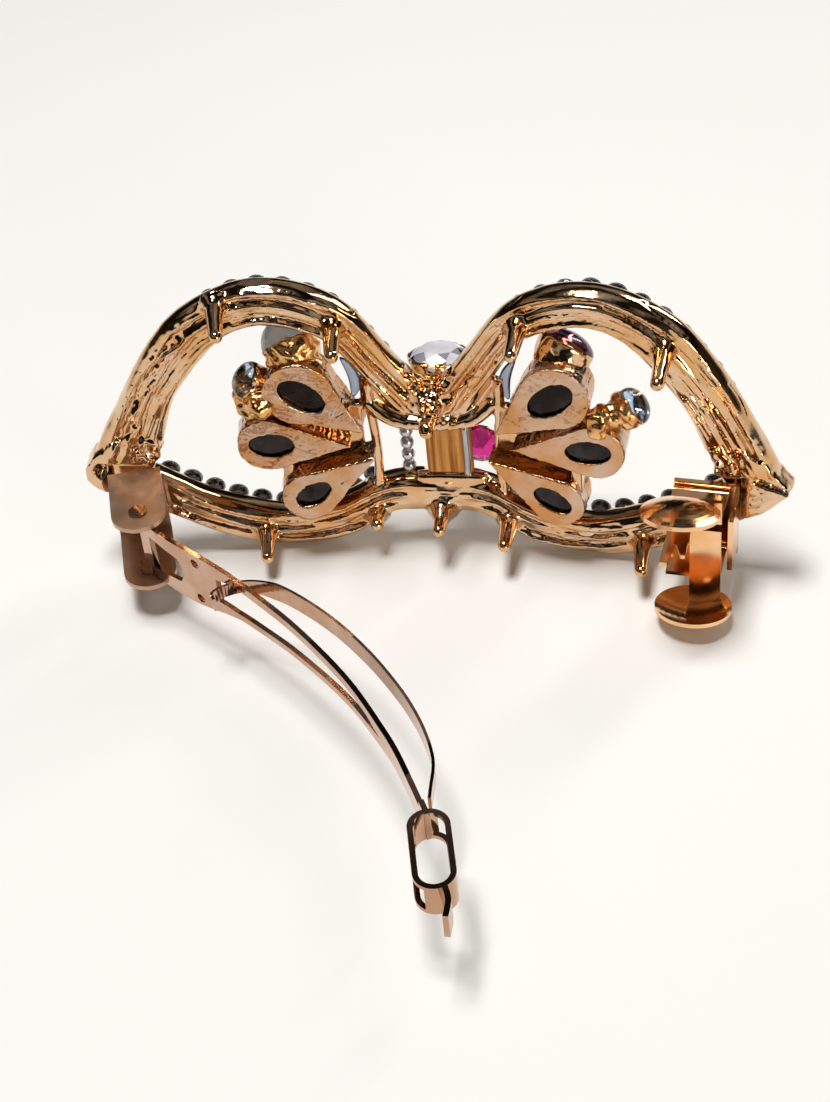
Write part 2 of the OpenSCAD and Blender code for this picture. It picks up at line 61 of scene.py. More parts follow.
SIDES = {"left": -1, "right": 1}  # the loops, and which way each lies along x

# ---------------------------------------------------------------- materials

EVEN = (1, 1, 1)  # grain that runs no particular way
ROLLED = (1, 1, 0.12)  # grain drawn out upwards, as on rolled sheet
FILED = (3.0, 1.0, 0.35)  # strokes drawn out upwards
BRUSHED = (9, 9, 0.25)  # long close lines upwards
MIX_A, MIX_B, MIX_RESULT = 6, 7, 2  # the colour sockets of a Mix node


def add(tree, kind, **sockets):
    """A new node with values set on the sockets named."""
    made = tree.nodes.new(kind)
    for name, value in sockets.items():
        made.inputs[name.replace("_", " ")].default_value = value
    return made


def noise(tree, vector, scale, detail, roughness=0.5):
    made = add(tree, "ShaderNodeTexNoise", Scale=scale, Detail=detail, Roughness=roughness)
    tree.links.new(vector, made.inputs["Vector"])
    return made.outputs["Fac"]


def remap(tree, value, low, high, out_low, out_high):
    made = add(tree, "ShaderNodeMapRange", From_Min=low, From_Max=high, To_Min=out_low, To_Max=out_high)
    tree.links.new(value, made.inputs["Value"])
    return made.outputs["Result"]


def bumps(tree, height, distance, strength=1.0, under=None):
    """The normal of a bumped surface, laid over another normal if under is given."""
    made = add(tree, "ShaderNodeBump", Strength=strength, Distance=distance)
    tree.links.new(height, made.inputs["Height"])
    if under is not None:
        tree.links.new(under, made.inputs["Normal"])
    return made.outputs["Normal"]


def new_material(name, base, metallic=0.0, rough=0.2, ior=1.5, transmission=0.0):
    made = bpy.data.materials.new(name)
    made.use_nodes = True
    shader = made.node_tree.nodes["Principled BSDF"]
    shader.inputs["Base Color"].default_value = (*base, 1)
    shader.inputs["Metallic"].default_value = metallic
    shader.inputs["Roughness"].default_value = rough
    shader.inputs["IOR"].default_value = ior
    shader.inputs["Transmission Weight"].default_value = transmission
    return made, made.node_tree, shader


def metal(name, base, tint, rough, spread, grain, grain_scale, grain_depth,
          fine_scale=0.0, fine_depth=0.0, brushed=False, metallic=1.0):
    """A plated metal: colour drifts from base to tint (along the grain if brushed), roughness from rough
    to rough + spread, and the surface has a grain and, if fine_depth is given, finer pits."""
    made, tree, shader = new_material(name, base, metallic=metallic, rough=rough)
    link = tree.links.new
    flat = tree.nodes.new("ShaderNodeTexCoord").outputs["Object"]
    stretch = add(tree, "ShaderNodeMapping", Scale=grain)
    link(flat, stretch.inputs["Vector"])
    along = stretch.outputs["Vector"]

    patch = noise(tree, along if brushed else flat, 180.0, 3.0, 0.6)
    blend = tree.nodes.new("ShaderNodeMix")
    blend.data_type = "RGBA"
    blend.inputs[MIX_A].default_value = (*base, 1)
    blend.inputs[MIX_B].default_value = (*tint, 1)
    link(remap(tree, patch, 0.4, 0.6, 0.0, 1.0), blend.inputs["Factor"])
    link(blend.outputs[MIX_RESULT], shader.inputs["Base Color"])

    smear = noise(tree, flat, 420.0, 5.0, 0.65)
    link(remap(tree, smear, 0.3, 0.7, rough, rough + spread), shader.inputs["Roughness"])

    normal = bumps(tree, noise(tree, along, grain_scale, 6.0, 0.6), grain_depth)
    if fine_depth:
        normal = bumps(tree, noise(tree, flat, fine_scale, 4.0, 0.7), fine_depth, under=normal)
    link(normal, shader.inputs["Normal"])
    return made


def pressed(name, base, tint, rough, spread):
    """Rolled sheet metal."""
    return metal(name, base, tint, rough, spread, ROLLED, 500.0, 5e-6, 3000.0, 1e-6)


def smooth_metal(name, base, tint, rough, spread, depth, metallic=1.0):
    """Beads, foil behind a stone, and facets that only glint."""
    return metal(name, base, tint, rough, spread, EVEN, 900.0, depth, metallic=metallic)


def glass(name, base, rough, drift):
    """Cut crystal: a faint drift of roughness and of surface, as on a machine-polished stone."""
    made, tree, shader = new_material(name, base, rough=rough, ior=1.56, transmission=1.0)
    haze = noise(tree, tree.nodes.new("ShaderNodeTexCoord").outputs["Object"], 900.0, 2.0)
    tree.links.new(remap(tree, haze, 0.35, 0.65, rough, rough + drift), shader.inputs["Roughness"])
    tree.links.new(bumps(tree, haze, 4e-6, strength=0.4), shader.inputs["Normal"])
    return made


GOLD = (0.74, 0.51, 0.33)
GOLD_WARM = (0.68, 0.38, 0.16)
ORANGE = (0.66, 0.32, 0.11)
CAST = metal("cast rose gold", GOLD, GOLD_WARM, 0.04, 0.1, EVEN, 620.0, 2.5e-5, 2600.0, 4e-6)
# Painted shade: a darker, more orange gold for the metal off the bands (webs, posts, knot blocks and pegs),
# standing in for shade and coloured reflections between parts
PAINTED_SHADE_GOLD = metal("painted shade rose gold", (0.66, 0.38, 0.17), (0.5, 0.22, 0.07), 0.05, 0.12,
             EVEN, 620.0, 4e-5, 2600.0, 6e-6)
# Painted shade: the cups get a darker, more orange gold than the bow, for the shade in their crevices; the
# filed grain is real
CUP = metal("cup rose gold", (0.6, 0.41, 0.29), (0.56, 0.27, 0.1), 0.07, 0.14,
            FILED, 700.0, 8e-5, 2400.0, 8e-6)
ROUGH = metal("solder rose gold", (0.84, 0.52, 0.22), ORANGE, 0.05, 0.12, EVEN, 1300.0, 9e-5, 4200.0, 1e-5)
SHEET = pressed("pressed rose gold", (0.58, 0.38, 0.28), (0.5, 0.29, 0.18), 0.05, 0.07)
LATCH = pressed("latch rose gold", (0.9, 0.57, 0.32), (0.84, 0.44, 0.18), 0.1, 0.1)
SATIN = pressed("satin rose gold", (0.56, 0.38, 0.27), (0.5, 0.31, 0.2), 0.34, 0.12)
PILLAR = metal("brushed rose gold", (0.56, 0.26, 0.08), (0.26, 0.09, 0.02), 0.16, 0.12,
               BRUSHED, 450.0, 9e-5, brushed=True)
SILVER = smooth_metal("bead silver", (0.62, 0.62, 0.63), (0.4, 0.4, 0.42), 0.24, 0.1, 8e-6)
SPARK = smooth_metal("backed crystal", (0.93, 0.94, 0.97), (0.78, 0.8, 0.87), 0.03, 0.03, 3e-6)
FOIL = smooth_metal("stone foil", (0.97, 0.97, 0.98), (0.9, 0.92, 0.95), 0.4, 0.2, 4e-6)
DARK_FOIL = smooth_metal("dark stone foil", (0.02, 0.016, 0.014), (0.045, 0.04, 0.04), 0.1, 0.12, 2e-5)
# Painted light and shade on the knot crystal: a pale copy for its lit facets and a grey copy for its shaded
# ones
LIT_CRYSTAL = smooth_metal("lit crystal", (0.88, 0.89, 0.94), (0.66, 0.65, 0.76), 0.06, 0.05, 3e-6, metallic=0.2)
SHADE = smooth_metal("shaded crystal", (0.5, 0.5, 0.57), (0.36, 0.36, 0.44), 0.06, 0.05, 3e-6, metallic=0.4)
DUSK = glass("band crystal", (0.3, 0.3, 0.31), 0.02, 0.05)
SMOKE = glass("smoke crystal", (0.2, 0.19, 0.185), 0.04, 0.06)
PLUM = glass("plum crystal", (0.5, 0.2, 0.32), 0.02, 0.05)
PINK = glass("magenta crystal", (0.72, 0.04, 0.32), 0.02, 0.04)
HAZE = glass("haze crystal", (0.3, 0.35, 0.44), 0.08, 0.1)
BLUE = glass("aurora crystal", (0.5, 0.66, 0.95), 0.02, 0.05)

# ---------------------------------------------------------------- points and patterns


def to_half(points, side):
    """Row frame to a loop's own [along, forward, up] for side 1 (right) or -1 (left)."""
    x, y, z = points[:, 0] * side, points[:, 1], points[:, 2]
    along = x * math.cos(LEAN) - y * math.sin(LEAN)
    forward = x * math.sin(LEAN) + y * math.cos(LEAN)
    return np.stack([along, forward, z], 1)


def from_half(points, side):
    """A loop's own [along, forward, up] to the row frame."""
    u, n, z = points[:, 0], points[:, 1], points[:, 2]
    x = u * math.cos(LEAN) + n * math.sin(LEAN)
    return np.stack([x * side, -u * math.sin(LEAN) + n * math.cos(LEAN), z], 1)


def box_mm(node):
    """Lowest and highest corner of a CAD node in millimetres."""
    return [np.array(v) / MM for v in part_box(node)]


def share(values):
    return np.clip(values, 0, 1)


def turns(count):
    """Equal angles once around."""
    return np.linspace(0, 2 * math.pi, count, endpoint=False)


def smooth_line(points, steps):
    """A Catmull-Rom line through points."""
    p = np.array(points, float)
    out = []
    for i in range(len(p) - 1):
        a, b, c, d = p[max(i - 1, 0)], p[i], p[i + 1], p[min(i + 2, len(p) - 1)]
        for k in range(steps):
            t = k / steps
            out.append(0.5 * (2 * b + (c - a) * t + (2 * a - 5 * b + 4 * c - d) * t * t
                              + (3 * b - a - 3 * c + d) * t ** 3))
    return np.array(out + [p[-1]])


def headings(line):
    """The direction of a line at each of its points."""
    step = np.gradient(line, axis=0)
    return step / np.linalg.norm(step, axis=1)[:, None]


def noise2(a, b, seed):
    """Smooth value noise in two coordinates, from 0 to 1."""
    grid = np.random.RandomState(seed).rand(256, 256)
    ia, ib = np.floor(a).astype(int), np.floor(b).astype(int)
    fa, fb = a - ia, b - ib
    fa, fb = fa * fa * (3 - 2 * fa), fb * fb * (3 - 2 * fb)

    def at(i, j):
        return grid[i % 256, j % 256]

    return ((at(ia, ib) * (1 - fa) + at(ia + 1, ib) * fa) * (1 - fb)
            + (at(ia, ib + 1) * (1 - fa) + at(ia + 1, ib + 1) * fa) * fb)


def noise3(p, seed):
    """Noise on a surface in space, as the mean of three slanted views of it."""
    return (noise2(p[:, 0], p[:, 1] + 0.37 * p[:, 2], seed)
            + noise2(p[:, 1], p[:, 2] + 0.41 * p[:, 0], seed + 1)
            + noise2(p[:, 2], p[:, 0] - 0.29 * p[:, 1], seed + 2)) / 3


def scratches(co, seed):
    """Thin lines in a few directions, as left by a file, from 0 to 1."""
    total = np.zeros(len(co))
    for k, tilt in enumerate((20, 65, 110, 152)):
        a = math.radians(tilt)
        over = co[:, 0] * math.cos(a) + co[:, 2] * math.sin(a)
        run = -co[:, 0] * math.sin(a) + co[:, 2] * math.cos(a)
        line = share(1 - np.abs(noise2(over * 0.55, run * 0.08, seed + k) - 0.5) / 0.035)
        total = np.maximum(total, line * (noise2(over * 0.3, run * 0.4, seed + 9 + k) > 0.56))
    return total


# ---------------------------------------------------------------- meshes and pieces


def tube(rings):
    """Verts and faces of a closed skin through equal rings, capped at both ends."""
    n = len(rings[0])
    verts = np.concatenate(rings)
    faces = [(i * n + j, i * n + (j + 1) % n, (i + 1) * n + (j + 1) % n, (i + 1) * n + j)
             for i in range(len(rings) - 1) for j in range(n)]
    faces.append(tuple(range(n - 1, -1, -1)))
    faces.append(tuple((len(rings) - 1) * n + j for j in range(n)))
    return verts, faces


def turned(profile, base, axis, segments=20):
    """A profile of (distance along the axis, radius) turned about a line from base."""
    axis = np.array(axis, float) / np.linalg.norm(axis)
    one = np.cross(axis, [0.3, 0.1, 0.9])
    one /= np.linalg.norm(one)
    two = np.cross(axis, one)
    around = turns(segments)
    circle = np.cos(around)[:, None] * one + np.sin(around)[:, None] * two
    return tube([np.array(base) + axis * t + circle * r for t, r in profile])


def beam(points, deep, tall):
    """A rounded bar through points, deep (half) front to back and tall (half) across."""
    line = smooth_line(points, 6)
    rings = []
    for p, way in zip(line, headings(line)):
        across = np.cross(way, [0, 1, 0])
        across /= np.linalg.norm(across)
        rings.append(np.array([p + tall * math.cos(a) * across + deep * math.sin(a) * np.array([0, 1, 0])
                               for a in turns(20)]))
    return tube(rings)


def block(low, high):
    """A box between two corners, later welded into a casting."""
    verts = [(x, y, z) for x in (low[0], high[0]) for y in (low[1], high[1]) for z in (low[2], high[2])]
    faces = [(0, 1, 3, 2), (4, 6, 7, 5), (0, 4, 5, 1), (2, 3, 7, 6), (0, 2, 6, 4), (1, 5, 7, 3)]
    return np.array(verts, float), faces


def plate(outline, back, front, side):
    """A flat outline in [along, up] between two depths of a loop."""
    verts, faces = tube([np.array([(u, depth, z) for u, z in outline]) for depth in (back, front)])
    return from_half(verts, side), faces


class Build:
    """Collects shapes in millimetres into one mesh."""

    def __init__(self):
        self.verts, self.faces, self.slots, self.count = [], [], [], 0

    def put(self, shape, slot=0):
        verts, faces = shape
        self.verts.append(np.asarray(verts, float))
        self.faces += [tuple(i + self.count for i in f) for f in faces]
        self.slots += [slot] * len(faces)
        self.count += len(verts)
        return self

    def mesh(self, name):
        made = bpy.data.meshes.new(name)
        made.from_pydata((np.concatenate(self.verts) * MM).tolist(), [], self.faces)
        made.polygons.foreach_set("material_index", self.slots)
        made.update()
        tidy = bmesh.new()
        tidy.from_mesh(made)
        bmesh.ops.recalc_face_normals(tidy, faces=tidy.faces)
        tidy.to_mesh(made)
        tidy.free()
        return made


def place(name, data):
    """A new object in the scene."""
    made = bpy.data.objects.new(name, data)
    bpy.context.scene.collection.objects.link(made)
    return made


def show(name, mesh, materials, slot, *nodes, smooth=True):
    """A visible piece of the ornament that stands for the CAD nodes named."""
    made = place(name, mesh)
    mesh.materials.clear()
    for material in materials:
        mesh.materials.append(material)
    mesh.polygons.foreach_set("use_smooth", [smooth] * len(mesh.polygons))
    mesh.update()
    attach(made, "ornament")
    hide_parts(*nodes)
    return made


def verts_of(mesh):
    """The vertices of a mesh as rows, in metres."""
    co = np.zeros(len(mesh.vertices) * 3)
    mesh.vertices.foreach_get("co", co)
    return co.reshape(-1, 3)


def set_verts(mesh, co):
    mesh.vertices.foreach_set("co", co.ravel())
    mesh.update()


def push(mesh, amount):
    """Moves each vertex along its normal by amount, in millimetres."""
    normals = np.zeros(len(mesh.vertices) * 3)
    mesh.vertices.foreach_get("normal", normals)
    set_verts(mesh, verts_of(mesh) + normals.reshape(-1, 3) * (amount * MM)[:, None])


def welded(name, mesh, voxel, relax):
    """One even skin over every shape in a mesh, relaxed a little as a casting is."""
    temp = place(name + " blank", mesh)
    shell = temp.modifiers.new("shell", "REMESH")
    shell.mode = "VOXEL"
    shell.voxel_size = voxel * MM
    soft = temp.modifiers.new("soft", "SMOOTH")
    soft.factor = 0.5
    soft.iterations = relax
    bpy.context.view_layer.update()
    done = temp.evaluated_get(bpy.context.evaluated_depsgraph_get())
    made = bpy.data.meshes.new_from_object(done)
    made.name = name
    bpy.data.objects.remove(temp)
    return made


def solids(node):
    """The separate solids of a CAD node, each as an array of vertices in millimetres."""
    mesh = NODES[node].data
    keys, where = np.unique(np.round(verts_of(mesh) / MM, 3), axis=0, return_inverse=True)
    where = where.ravel()
    parent = np.arange(len(keys))

    def root(i):
        while parent[i] != i:
            parent[i] = parent[parent[i]]
            i = parent[i]
        return i

    for edge in mesh.edges:
        a, b = root(where[edge.vertices[0]]), root(where[edge.vertices[1]])
        parent[a] = b
    labels = np.array([root(i) for i in range(len(keys))])
    return [keys[labels == k] for k in np.unique(labels)]


# ---------------------------------------------------------------- the cast bow

DRAWN_HALF_LENGTH = 42.86  # half length of the bow for which the middle lines are given
bow_low, bow_high = box_mm("bow_frame")
STRETCH = max(-bow_low[0], bow_high[0]) / DRAWN_HALF_LENGTH
# Middle lines of the two arcs of a loop, in [along, up], from the knot to the corner
UPPER = np.array([(1.5, 7.2), (5.4, 13.2), (11.2, 21), (19.4, 23.8), (27, 20.8), (32.8, 14.2), (36.6, 7.4),
                  (39.4, 2.2)]) * STRETCH
LOWER = np.array([(1.5, -4.6), (6.4, -5), (12.4, -8.3), (19.4, -9.2), (26.6, -7.2), (33.2, -3.6),
                  (39.4, 0.2)]) * STRETCH
LINE_STEPS = 14
# Section of a band: place across it (-1 outer edge, 1 inner edge), depth behind it and depth in front of it
BAND_ACROSS = [-1, -0.97, -0.86, -0.68, -0.5, -0.38, -0.28, -0.12, 0.06, 0.22, 0.36, 0.5, 0.64, 0.78, 0.9,
               0.98, 1]
BAND_BACK = [0.2, 0.85, 1.45, 1.8, 1.75, 1.4, 1.2, 1.75, 2.0, 1.85, 1.5, 1.75, 1.9, 1.75, 1.35, 0.8, 0.3]
BAND_FRONT = [-0.2, 0.5, 1.2, 1.5, 1.5, 1.5, 1.5, 1.5, 1.5, 1.5, 1.5, 1.5, 1.5, 1.45, 1.2, 0.5, -0.2]
POINTED_CORNER = [(36.6, 6.6), (39.8, 4.6), (43, 0.9), (39.6, -2.4), (35, -4.6), (36.8, 0.8)]
ROUNDED_CORNER = [(36.6, 6.8), (39.6, 5), (41.6, 3.6), (42.7, 2), (42.8, 0.4), (41.9, -1), (40, -2.2),
                  (35, -4.6), (36.8, 0.8)]
SOLDER_SPOT = (34.6, 4.2)  # where the clip is soldered on, in [along, up] of a loop
POST = [(7.3, -5.6), (6.9, -1), (6.9, 4), (7.2, 9), (7.2, 12.6)]  # the upright bar beside the knot
POST_SHIFT = {-1: 0.2, 1: 1.3}
PEG_TIP_DEPTH = -4.2  # only the tips of pegs lie further back than this
PEG_TIP_WIDTH = 2.2
PEG_ROOT_DEPTH = 1.2
CAST_VOXEL = 0.18
# Middle line of each arc, its outer and inner half widths, its swell towards the corner, and whether its
# left is the inside of the loop
ARCS = ((UPPER, 2.4, 2.3, 2.6, False), (LOWER, 2.7, 2.5, 0.3, True))


def band(points, side, outer, inner, swell, flip):
    """One arc of a loop, with wandering edges; the rest is as for ARCS."""
    line = smooth_line(points, LINE_STEPS)
    way = headings(line)
    left = np.stack([-way[:, 1], way[:, 0]], 1) * (-1 if flip else 1)
    rings = []
    for i, (p, o) in enumerate(zip(line, left)):
        f = i / (len(line) - 1)
        grow = swell * f * f * (2 - f)
        wave = 1 + 0.05 * math.sin(9 * f + 2 * side) + 0.04 * math.sin(23 * f)
        across = [(outer if q < 0 else inner + grow) * -q * wave for q in BAND_ACROSS]
        back = [(u, -b * (1 + 0.1 * math.sin(15 * f + 5 * u))) for u, b in zip(across, BAND_BACK)]
        front = list(zip(reversed(across), reversed(BAND_FRONT)))
        rings.append(np.array([(p[0] + o[0] * u, n, p[1] + o[1] * u) for u, n in back + front]))
    verts, faces = tube(rings)
    return from_half(verts, side), faces


def oblong(along_low, up_low, along_high, up_high):
    """A rectangle outline for plate."""
    return [(along_low, up_low), (along_high, up_low), (along_high, up_high), (along_low, up_high)]


# Plates between the parts of a loop: outline in [along, up], depth of the back and depth of the front
WEBS = (([(4.6, 8), (8.4, 8), (8.4, 12.4), (6.6, 12.4)], -0.9, 0.6),  # between the knot and the upper arc
        (oblong(8.4, 0.8, 18.6, 9.2), -1.4, -0.1),  # the plate under the cups
        (oblong(17.1, -2.2, 18.5, 2.6), -2.9, -0.1),  # between the middle and lower cups
        (oblong(14.7, -7.4, 16, -5), -1.4, -0.1))  # between the lower cup and the lower arc


def peg_tips():
    """Tip and direction of each peg, read off the rings that end the pegs of the CAD casting."""
    co = np.unique(np.round(verts_of(NODES["bow_frame"].data) / MM, 3), axis=0)
    depth = np.where(co[:, 0] < 0, to_half(co, -1)[:, 1], to_half(co, 1)[:, 1])
    tips = co[depth < PEG_TIP_DEPTH]
    found = []
    while len(tips):
        near = np.linalg.norm(tips - tips[0], axis=1) < PEG_TIP_WIDTH
        ring, tips = tips[near], tips[~near]
        _, vectors = np.linalg.eigh(np.cov((ring - ring.mean(0)).T))
        way = vectors[:, 0]
        found.append(((ring.max(0) + ring.min(0)) / 2, way if way[1] < 0 else -way))
    return found


def peg(tip, way):
    """A blunt peg with a spreading root."""
    depth = to_half(tip[None], 1 if tip[0] > 0 else -1)[0][1]
    length = -depth - PEG_ROOT_DEPTH
    return turned([(0, 2), (0.6, 1.45), (1.4, 1.12), (length * 0.5, 0.96), (length - 0.6, 0.8),
                   (length - 0.15, 0.52), (length, 0.15)], tip - way * length, way)


def bow_blank():
    """Every part of the casting as plain shapes, still to be welded into one skin."""
    bow = Build()
    for side in (-1, 1):
        for points, outer, inner, swell, flip in ARCS:
            bow.put(band(points, side, outer, inner, swell, flip))
        bow.put(plate(POINTED_CORNER if side > 0 else ROUNDED_CORNER, -2.1, 1.3, side))
        post = np.array([(u + POST_SHIFT[side], -0.8, z) for u, z in POST])
        bow.put(beam(from_half(post, side), 0.7, 0.62))
        for outline, back, front in WEBS:
            bow.put(plate(outline, back, front, side))
    # The knot: an upper block, the bar under the pillar, a lower block, and the round rim of each block
    bow.put(block((-5, -1.9, 7), (5.2, 1.3, 10.4)))
    bow.put(beam([(-2.2, -1.2, -2.6), (0, -1.5, -2.2), (4, -1.5, -2.2), (6, -1.2, -2.6)], 0.8, 1))
    bow.put(block((-3.8, -1.4, -7), (5.8, 1.3, -3.2)))
    bow.put(beam([(-7.6, -1.4, 9.2), (-5.2, -1.8, 7.2), (-2.6, -1.9, 6.5), (3, -1.9, 6.5), (5.6, -1.8, 7.4),
                  (7.8, -1.4, 9.4)], 1.15, 0.95))
    bow.put(beam([(-8.4, -0.7, -5.6), (-4, -1.2, -4.9), (0.6, -1.5, -4.6), (5, -1.2, -4.9), (9, -0.7, -5.8)],
                 1.2, 2.5))
    # The wide root of the peg below the knot
    bow.put(turned([(-0.6, 2.4), (0.5, 2.1), (1.6, 1.45), (2.6, 1.05)], (0.6, -1.8, -6.5), (0, -1, 0)))
    for tip, way in peg_tips():
        bow.put(peg(tip, way))
    return bow.mesh("bow blank")


ARC_SHIFT, SIDE_SHIFT = 90, 200  # these keep the pattern of each arc and side apart
BAND_REACH = 3.9  # metal further than this from an arc is off the bands
CORNER_START = 34  # the corners, further along than this, keep the metal of the bands


def along_arcs(half, side):
    """For each point, its distance from the nearest arc, and its place along and across that arc."""
    best = np.full(len(half), 1e9)
    run, off = np.zeros(len(half)), np.zeros(len(half))
    for k, (points, *_) in enumerate(ARCS):
        line = smooth_line(points, LINE_STEPS)
        length = np.concatenate([[0], np.cumsum(np.linalg.norm(np.diff(line, axis=0), axis=1))])
        for i, way in enumerate(headings(line)):
            dx, dz = half[:, 0] - line[i, 0], half[:, 2] - line[i, 1]
            dist = np.hypot(dx, dz)
            near = dist < best
            best[near] = dist[near]
            run[near] = (length[i] + (dx * way[0] + dz * way[1])[near]
                         + ARC_SHIFT * k + SIDE_SHIFT * (side[near] > 0))
            off[near] = (-dx * way[1] + dz * way[0])[near]
    return best, run, off


def band_relief(run, off):
    """Wood-like grain, rough hollows and cracks of a band, in millimetres."""
    fibre = noise2(run * 0.1, off * 1.5, 3) + 0.5 * noise2(run * 0.3, off * 3.4, 4) - 0.75
    rough = share((noise2(run * 0.13, off * 0.6 + 7, 6) - 0.58) / 0.16) * share(1.4 - np.abs(off) / 1.6)
    dents = noise2(run * 0.5, off * 2.6, 8) + 0.5 * noise2(run * 1.5, off * 4, 9) - 0.75
    level = noise2(run * 0.09, off * 1.6 + 3, 12)
    crack = share(1 - np.abs(level - 0.5) / 0.03) * (noise2(run * 0.2, off * 0.3, 13) > 0.5)
    return 0.2 * fibre + 0.62 * rough * dents - 0.11 * crack


def corner_relief(co, half, side):
    """The eye in the rounded corner and the leaf groove in the pointed one, in millimetres."""
    behind = -half[:, 1]
    eye = np.hypot((half[:, 0] - 40.7) / 0.75, (half[:, 2] - 1.6) / 1.1)
    eye = share(1.25 - eye) * share(behind - 1.2) * (side < 0)
    leaf = share(1 - np.abs(half[:, 2] - 1.9 + 0.35 * (half[:, 0] - 40)) / 0.5) * (side > 0)
    leaf = leaf * share((half[:, 0] - 38.2) / 0.6) * share(behind - 0.6)
    return -1.6 * eye - 0.7 * leaf * (0.5 + noise3(co * 2.2, 17))


def sit(mesh, node):
    """Sinks the back of the casting where a pressed part lies on it."""
    low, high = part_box(node)
    co = verts_of(mesh)
    past_x = np.maximum(low.x - co[:, 0], co[:, 0] - high.x)
    past_z = np.maximum(low.z - co[:, 2], co[:, 2] - high.z)
    outside = np.maximum(past_x, past_z)
    limit = high.y + 0.15 * MM - 1.2 * np.maximum(outside, 0)
    co[:, 1] = np.where(outside > 2 * MM, co[:, 1], np.maximum(co[:, 1], limit))
    set_verts(mesh, co)


def finish_casting(mesh):
    """Relief on the bands, lumps on knot and solder, seats for the clip, and a darker, more orange gold off
    the bands as painted shade.
    """
    co = verts_of(mesh) / MM
    side = np.where(co[:, 0] < 0, -1.0, 1.0)
    half = np.where(side[:, None] < 0, to_half(co, -1), to_half(co, 1))
    best, run, off = along_arcs(half, side)
    on_band = share((3.6 - best) / 0.8) * share((half[:, 1] + 3.2) / 0.6)
    at_back = share((0.4 - half[:, 1]) / 0.8)
    ripple = noise3(co * 0.7, 11) - 0.5
    knot = share((3.4 - np.abs(co[:, 0])) / 1.4) * share((co[:, 2] - 8) / 1.2)
    spot = np.hypot(half[:, 0] - SOLDER_SPOT[0], half[:, 2] - SOLDER_SPOT[1])
    solder = share((2.6 - spot) / 1.2) * at_back
    blobs = noise3(co * 1.3, 21) - 0.42
    strength = np.where((run % SIDE_SHIFT) > ARC_SHIFT - 10, 0.6, 1.0)  # fainter on lower arcs
    relief = on_band * at_back * strength * band_relief(run, off) * (1 - knot) * (1 - solder)
    push(mesh, relief + 0.1 * ripple + blobs * (1.1 * knot + 1.5 * solder) + corner_relief(co, half, side))
    for node in ("hinge_bracket", "latch_base"):
        sit(mesh, node)
    # painted shade: metal away from the bands and corners takes the darker second material
    deep = (best + 0.5 * ripple > BAND_REACH) & (half[:, 0] < CORNER_START)
    corners, starts = np.zeros(len(mesh.loops), int), np.zeros(len(mesh.polygons), int)
    mesh.loops.foreach_get("vertex_index", corners)
    mesh.polygons.foreach_get("loop_start", starts)
    mesh.polygons.foreach_set("material_index", deep[corners[starts]].astype(int))
    set_verts(mesh, np.clip(verts_of(mesh), *(np.array(v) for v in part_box("bow_frame"))))


skin = welded("bow casting", bow_blank(), CAST_VOXEL, 7)
finish_casting(skin)
show("bow_casting", skin, [CAST, PAINTED_SHADE_GOLD], "rose_gold", "bow_frame")

# ---------------------------------------------------------------- where the stones stand

# Stones that stand otherwise than the solid ones: their shift in millimetres, and the way they face
SHIFTED = {"left_side_stone": ((1.4, 0.2, 0.52), (-0.75, -0.2, 0.62)),
           "left_smoke_stone": ((0.71, -0.43, -1.64), (-0.38, 0.55, 0.74)),
           "right_smoke_stone": ((-0.71, 0.37, -2.14), (0.45, 0.55, 0.7))}


def gem_pose(points):
    """(centre of the girdle, direction of the table, diameter) of a turned gem's vertices."""
    middle = (points.max(0) + points.min(0)) / 2
    _, vectors = np.linalg.eigh(np.cov((points - middle).T))
    axis = vectors[:, 0]
    height = points @ axis
    spread = points - np.outer(height, axis)
    hub = (spread.max(0) + spread.min(0)) / 2
    radius = np.linalg.norm(spread - hub, axis=1)
    on_girdle = radius > 0.97 * radius.max()
    girdle = np.median(height[on_girdle])
    if height.max() - girdle > girdle - height.min():
        axis = -axis
    ring = points[on_girdle]
    return (ring.max(0) + ring.min(0)) / 2, axis, 2 * radius.max()


def stone_pose(node):
    """The same for the only gem of a node, shifted and turned where the visible one differs."""
    centre, axis, d = gem_pose(solids(node)[0])
    if node in SHIFTED:
        shift, axis = (np.array(v) for v in SHIFTED[node])
        centre, axis = centre + shift, axis / np.linalg.norm(axis)
    return centre, axis, d


# ---------------------------------------------------------------- cups, bowls and the knot pillar

NUGGET_RADIUS = 1.9
NUGGETS = {"left": ((1.5, -2, -1.9), (0.4, -1, -3.3), (0, -0.2, -1.7)),
           "right": ((-3.79, -1.64, -1.38), (-2.58, -0.84, -0.98))}  # solder beside the side stones


def casting(name, node, material, voxel, relax, lumps, fineness, scratch=0.0):
    """A CAD solid recast with softened edges, lumps and file scratches."""
    source = NODES[node].data.copy()
    source.name = name + " blank"
    tidy = bmesh.new()
    tidy.from_mesh(source)
    bmesh.ops.remove_doubles(tidy, verts=tidy.verts, dist=2e-6)
    tidy.to_mesh(source)
    tidy.free()
    mesh = welded(name, source, voxel, relax)
    co = verts_of(mesh) / MM
    seed = len(name)
    push(mesh, lumps * (noise3(co * fineness, seed) - 0.5) + 0.25 * lumps * (noise3(co * 3, 5) - 0.5)
         - scratch * scratches(co, seed))
    return show(name, mesh, [material], "rose_gold", node)


